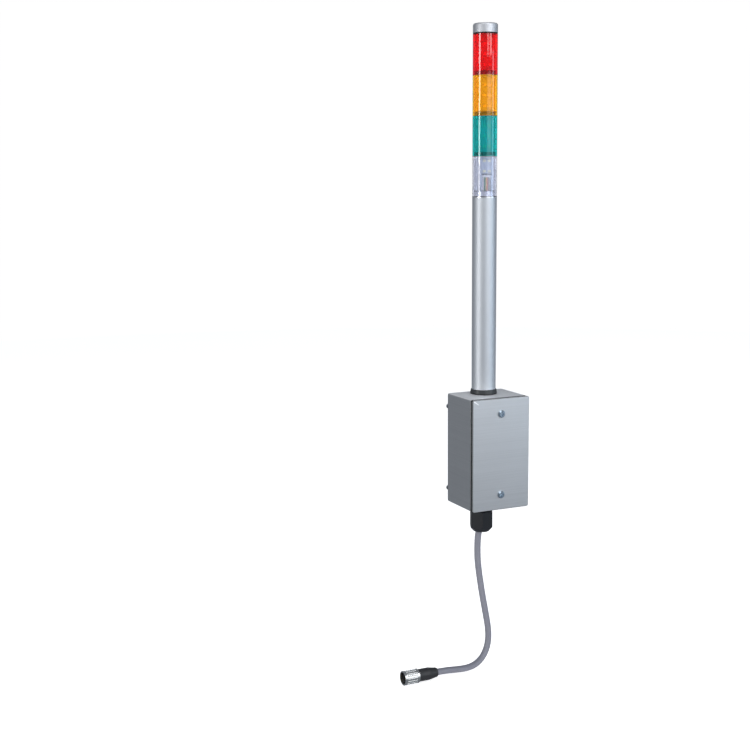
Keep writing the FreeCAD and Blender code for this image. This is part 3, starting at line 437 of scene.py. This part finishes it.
def piece(form, name, slot):
    """Make a dressed piece of a finished form: it rides the light and wears a slot's finish."""
    bmesh.ops.recalc_face_normals(form, faces=form.faces)
    mesh = bpy.data.meshes.new(name)
    form.to_mesh(mesh)
    form.free()
    for face in mesh.polygons:
        face.use_smooth = True
    mesh.set_sharp_from_angle(angle=math.radians(SHARP_FROM))
    result = bpy.data.objects.new(name, mesh)
    bpy.context.scene.collection.objects.link(result)
    mesh.materials.append(MATERIALS[slot])
    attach(result, BODY)
    return result


def liner(name, slot, tiers, outline):
    """Rings of one outline, each just inside the foot of a tier's lens."""
    form = bmesh.new()
    upright = Matrix.Identity(3)
    for tier in tiers:
        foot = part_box(f"lens_{tier}")[0].z
        sweep(form, outline, (0, TOWER_Y, foot), LINER_STEPS, upright)
    piece(form, name, slot)


def liners():
    """Dark rings in the coloured tiers, and a metal sleeve with a dark lip in the lowest one."""
    inner, outer = LINER_INNER, LINER_OUTER
    ring = [(inner, 0.0006), (outer, 0.0006), (outer, 0.0046), (0.0132, 0.0050), (inner, 0.0050)]
    sleeve = [(inner, 0.0004), (outer, 0.0004), (outer, 0.0062), (inner, 0.0062)]
    lip = [(inner, 0.0062), (outer, 0.0062), (0.0135, 0.0066), (outer, 0.0070), (inner, 0.0070)]
    liner("coupling_rings", "plate_black", TIERS[1:], ring)
    liner("holder_sleeve", "holder_metal", TIERS[:1], sleeve)
    liner("holder_lip", "plate_black", TIERS[:1], lip)


def board_pins():
    """A row of dark pins on each board, above the wire header on the lowest one."""
    form = bmesh.new()
    pin = [
        (0.0001, 0), (PIN_RADIUS, 0), (PIN_RADIUS, 0.0008),
        (0.0005, PIN_REACH), (0.0001, PIN_REACH),
    ]
    forward = Matrix.Rotation(math.radians(90), 3, "X")
    for tier in TIERS:
        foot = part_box(f"board_{tier}")[0]
        row_z = foot.z + PINS_OVER_FOOT
        if tier == TIERS[0]:
            row_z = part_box("wire_header")[1].z + PINS_OVER_HEADER
        for k in PIN_PLACES:
            sweep(form, pin, (k * PIN_PITCH, foot.y, row_z), PIN_STEPS, forward)
    piece(form, "board_pins", "plate_black")


def crease_with_painted_glint():
    """A fine crease across the cover's upper left corner, near-white so that it paints a glint
    there.
    """
    low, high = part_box("box_cover")
    start, end = (
        Vector((low.x + inward, low.y, high.z - downward))
        for inward, downward in (CREASE_START, CREASE_END)
    )
    along = (end - start).normalized()
    across = along.cross(Vector((0, 1, 0)))
    arc = [math.radians(a) for a in (0, 30, 60, 90, 120, 150, 180)]
    form = bmesh.new()
    rows = []
    for share, width in CREASE_WIDTHS:
        middle = start.lerp(end, share)
        rows.append([])
        for a in arc:
            out = width * CREASE_HEIGHT_SHARE * math.sin(a) - CREASE_SUNK
            point = middle + across * width * math.cos(a) - Vector((0, out, 0))
            rows[-1].append(form.verts.new(point))
    for row, following in zip(rows, rows[1:]):
        for i in range(len(row) - 1):
            form.faces.new((row[i], row[i + 1], following[i + 1], following[i]))
        form.faces.new((row[-1], row[0], following[0], following[-1]))
    form.faces.new(rows[0])
    form.faces.new(rows[-1])
    crease = piece(form, "crease_with_painted_glint", "box_steel")
    # The crease wears the near-white painted glint instead of the sheet's finish.
    crease.data.materials[0] = MATERIALS["painted_glint"]


def boot_ribs():
    """Strain-relief ribs on the plug's boot."""
    form = bmesh.new()
    sideways = Matrix.Rotation(math.radians(-90), 3, "Y")
    rib = [
        (0.0058, -0.0006), (0.0063, -0.0006), (0.0066, -0.0003),
        (0.0066, 0.0003), (0.0063, 0.0006), (0.0058, 0.0006),
    ]
    boot_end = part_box("plug_body")[1].x
    for k in range(RIB_COUNT):
        rib_x = boot_end - RIB_FROM_END - k * RIB_PITCH
        sweep(form, rib, (rib_x, *PLUG_AXIS), RIB_STEPS, sideways)
    piece(form, "boot_ribs", "plug_black")


def cable():
    """The free cable: one smooth curve along the listed route."""
    data = bpy.data.curves.new("cable_sheath", "CURVE")
    data.dimensions = "3D"
    spline = data.splines.new("NURBS")
    spline.points.add(len(CABLE_ROUTE) - 1)
    for point, place in zip(spline.points, CABLE_ROUTE):
        point.co = (*place, 1)
    spline.order_u = 3
    spline.use_endpoint_u = True
    spline.resolution_u = CABLE_STEPS
    data.resolution_u = CABLE_STEPS
    data.bevel_depth = CABLE_DIAMETER / 2
    data.bevel_resolution = 8
    data.use_fill_caps = True
    curve = bpy.data.objects.new("cable_sheath", data)
    bpy.context.scene.collection.objects.link(curve)
    curve.data.materials.append(MATERIALS["cable_sheath"])
    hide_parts("cable")
    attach(curve, BODY)


# Camera, light and ground


def camera():
    azimuth, down, roll = (math.radians(a) for a in (CAMERA_AZIMUTH, CAMERA_DOWN, CAMERA_ROLL))
    level = math.cos(down)
    back = Vector((math.sin(azimuth) * level, -math.cos(azimuth) * level, math.sin(down)))
    right = Vector((0, 0, 1)).cross(back).normalized()
    up = back.cross(right)
    rolled_right = right * math.cos(roll) + up * math.sin(roll)
    rolled_up = up * math.cos(roll) - right * math.sin(roll)
    data = bpy.data.cameras.new("camera")
    data.sensor_width = SENSOR
    data.lens = CAMERA_LENS
    data.clip_end = CAMERA_REACH
    eye = bpy.data.objects.new("camera", data)
    eye.matrix_world = Matrix((
        (rolled_right.x, rolled_up.x, back.x, CAMERA_AT[0]),
        (rolled_right.y, rolled_up.y, back.y, CAMERA_AT[1]),
        (rolled_right.z, rolled_up.z, back.z, CAMERA_AT[2]),
        (0, 0, 0, 1),
    ))
    bpy.context.scene.collection.objects.link(eye)
    bpy.context.scene.camera = eye


def softbox(name, azimuth, distance, height, width, tall, power, colour=(1, 1, 1)):
    """A rectangular studio light that faces the tower from one side."""
    data = bpy.data.lights.new(name, "AREA")
    data.shape = "RECTANGLE"
    data.size = width
    data.size_y = tall
    data.energy = power
    data.color = colour
    light = bpy.data.objects.new(name, data)
    turn = math.radians(azimuth)
    light.location = (math.sin(turn) * distance, -math.cos(turn) * distance, height)
    aim = Vector(LIGHTS_AIM) - light.location
    light.rotation_euler = aim.to_track_quat("-Z", "Y").to_euler()
    bpy.context.scene.collection.objects.link(light)


def studio():
    """Each light by its azimuth, distance, height, width, tallness, watts and colour."""
    softbox("left_strip", -81.0, 1.7, 0.555, 0.44, 0.35, 4.2)
    softbox("left_low", -81.0, 1.7, 0.01, 0.46, 0.74, 5.2)
    softbox("right_box", 21.0, 1.9, 1.13, 0.80, 0.96, 9, (0.94, 0.97, 1.0))
    softbox("right_strip", -5.0, 1.9, 1.13, 0.43, 0.96, 5)
    softbox("right_low", 10.0, 1.9, 0.25, 1.3, 0.78, 4.4, (0.94, 0.97, 1.0))
    softbox("blue_side", 47.0, 1.9, 0.22, 0.55, 0.95, 4.5, (0.66, 0.83, 1.0))
    softbox("low_card", 24.0, 0.95, -0.16, 0.8, 0.28, 0.16, (0.85, 0.93, 1.0))
    softbox("rear_card", 172.0, 2.6, 1.30, 1.6, 0.7, 3)
    softbox("front_fill", -33.0, 2.6, 1.9, 1.4, 1.6, 5)
    softbox("overhead", -30.0, 0.9, 1.9, 1.6, 1.6, 10)
    world = bpy.data.worlds.new("studio")
    world.use_nodes = True
    world.node_tree.nodes["Background"].inputs["Color"].default_value = WORLD_COLOUR
    bpy.context.scene.world = world
    bpy.context.scene.view_settings.view_transform = "Standard"


def ground():
    """A pale floor in a pale dome, which shows behind and through the object but lights nothing."""
    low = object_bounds()[0]
    bpy.ops.mesh.primitive_circle_add(
        vertices=96, radius=FLOOR_RADIUS, fill_type="NGON", location=(0, 0, low.z),
    )
    floor = bpy.context.object
    floor.name = "floor"
    floor.data.materials.append(plain("floor_paper", (0.90, 0.90, 0.90), 0.78))
    floor.visible_glossy = False
    bpy.ops.mesh.primitive_uv_sphere_add(
        segments=64, ring_count=32, radius=DOME_RADIUS, location=(0, 0, 0),
    )
    dome = bpy.context.object
    dome.name = "dome"
    dome.data.materials.append(plain("dome_paper", (0.0, 0.0, 0.0), 1.0))
    for ray in ("diffuse", "glossy", "shadow"):
        setattr(dome, f"visible_{ray}", False)


dress_cad()
liners()
board_pins()
crease_with_painted_glint()
boot_ribs()
cable()
camera()
studio()
ground()
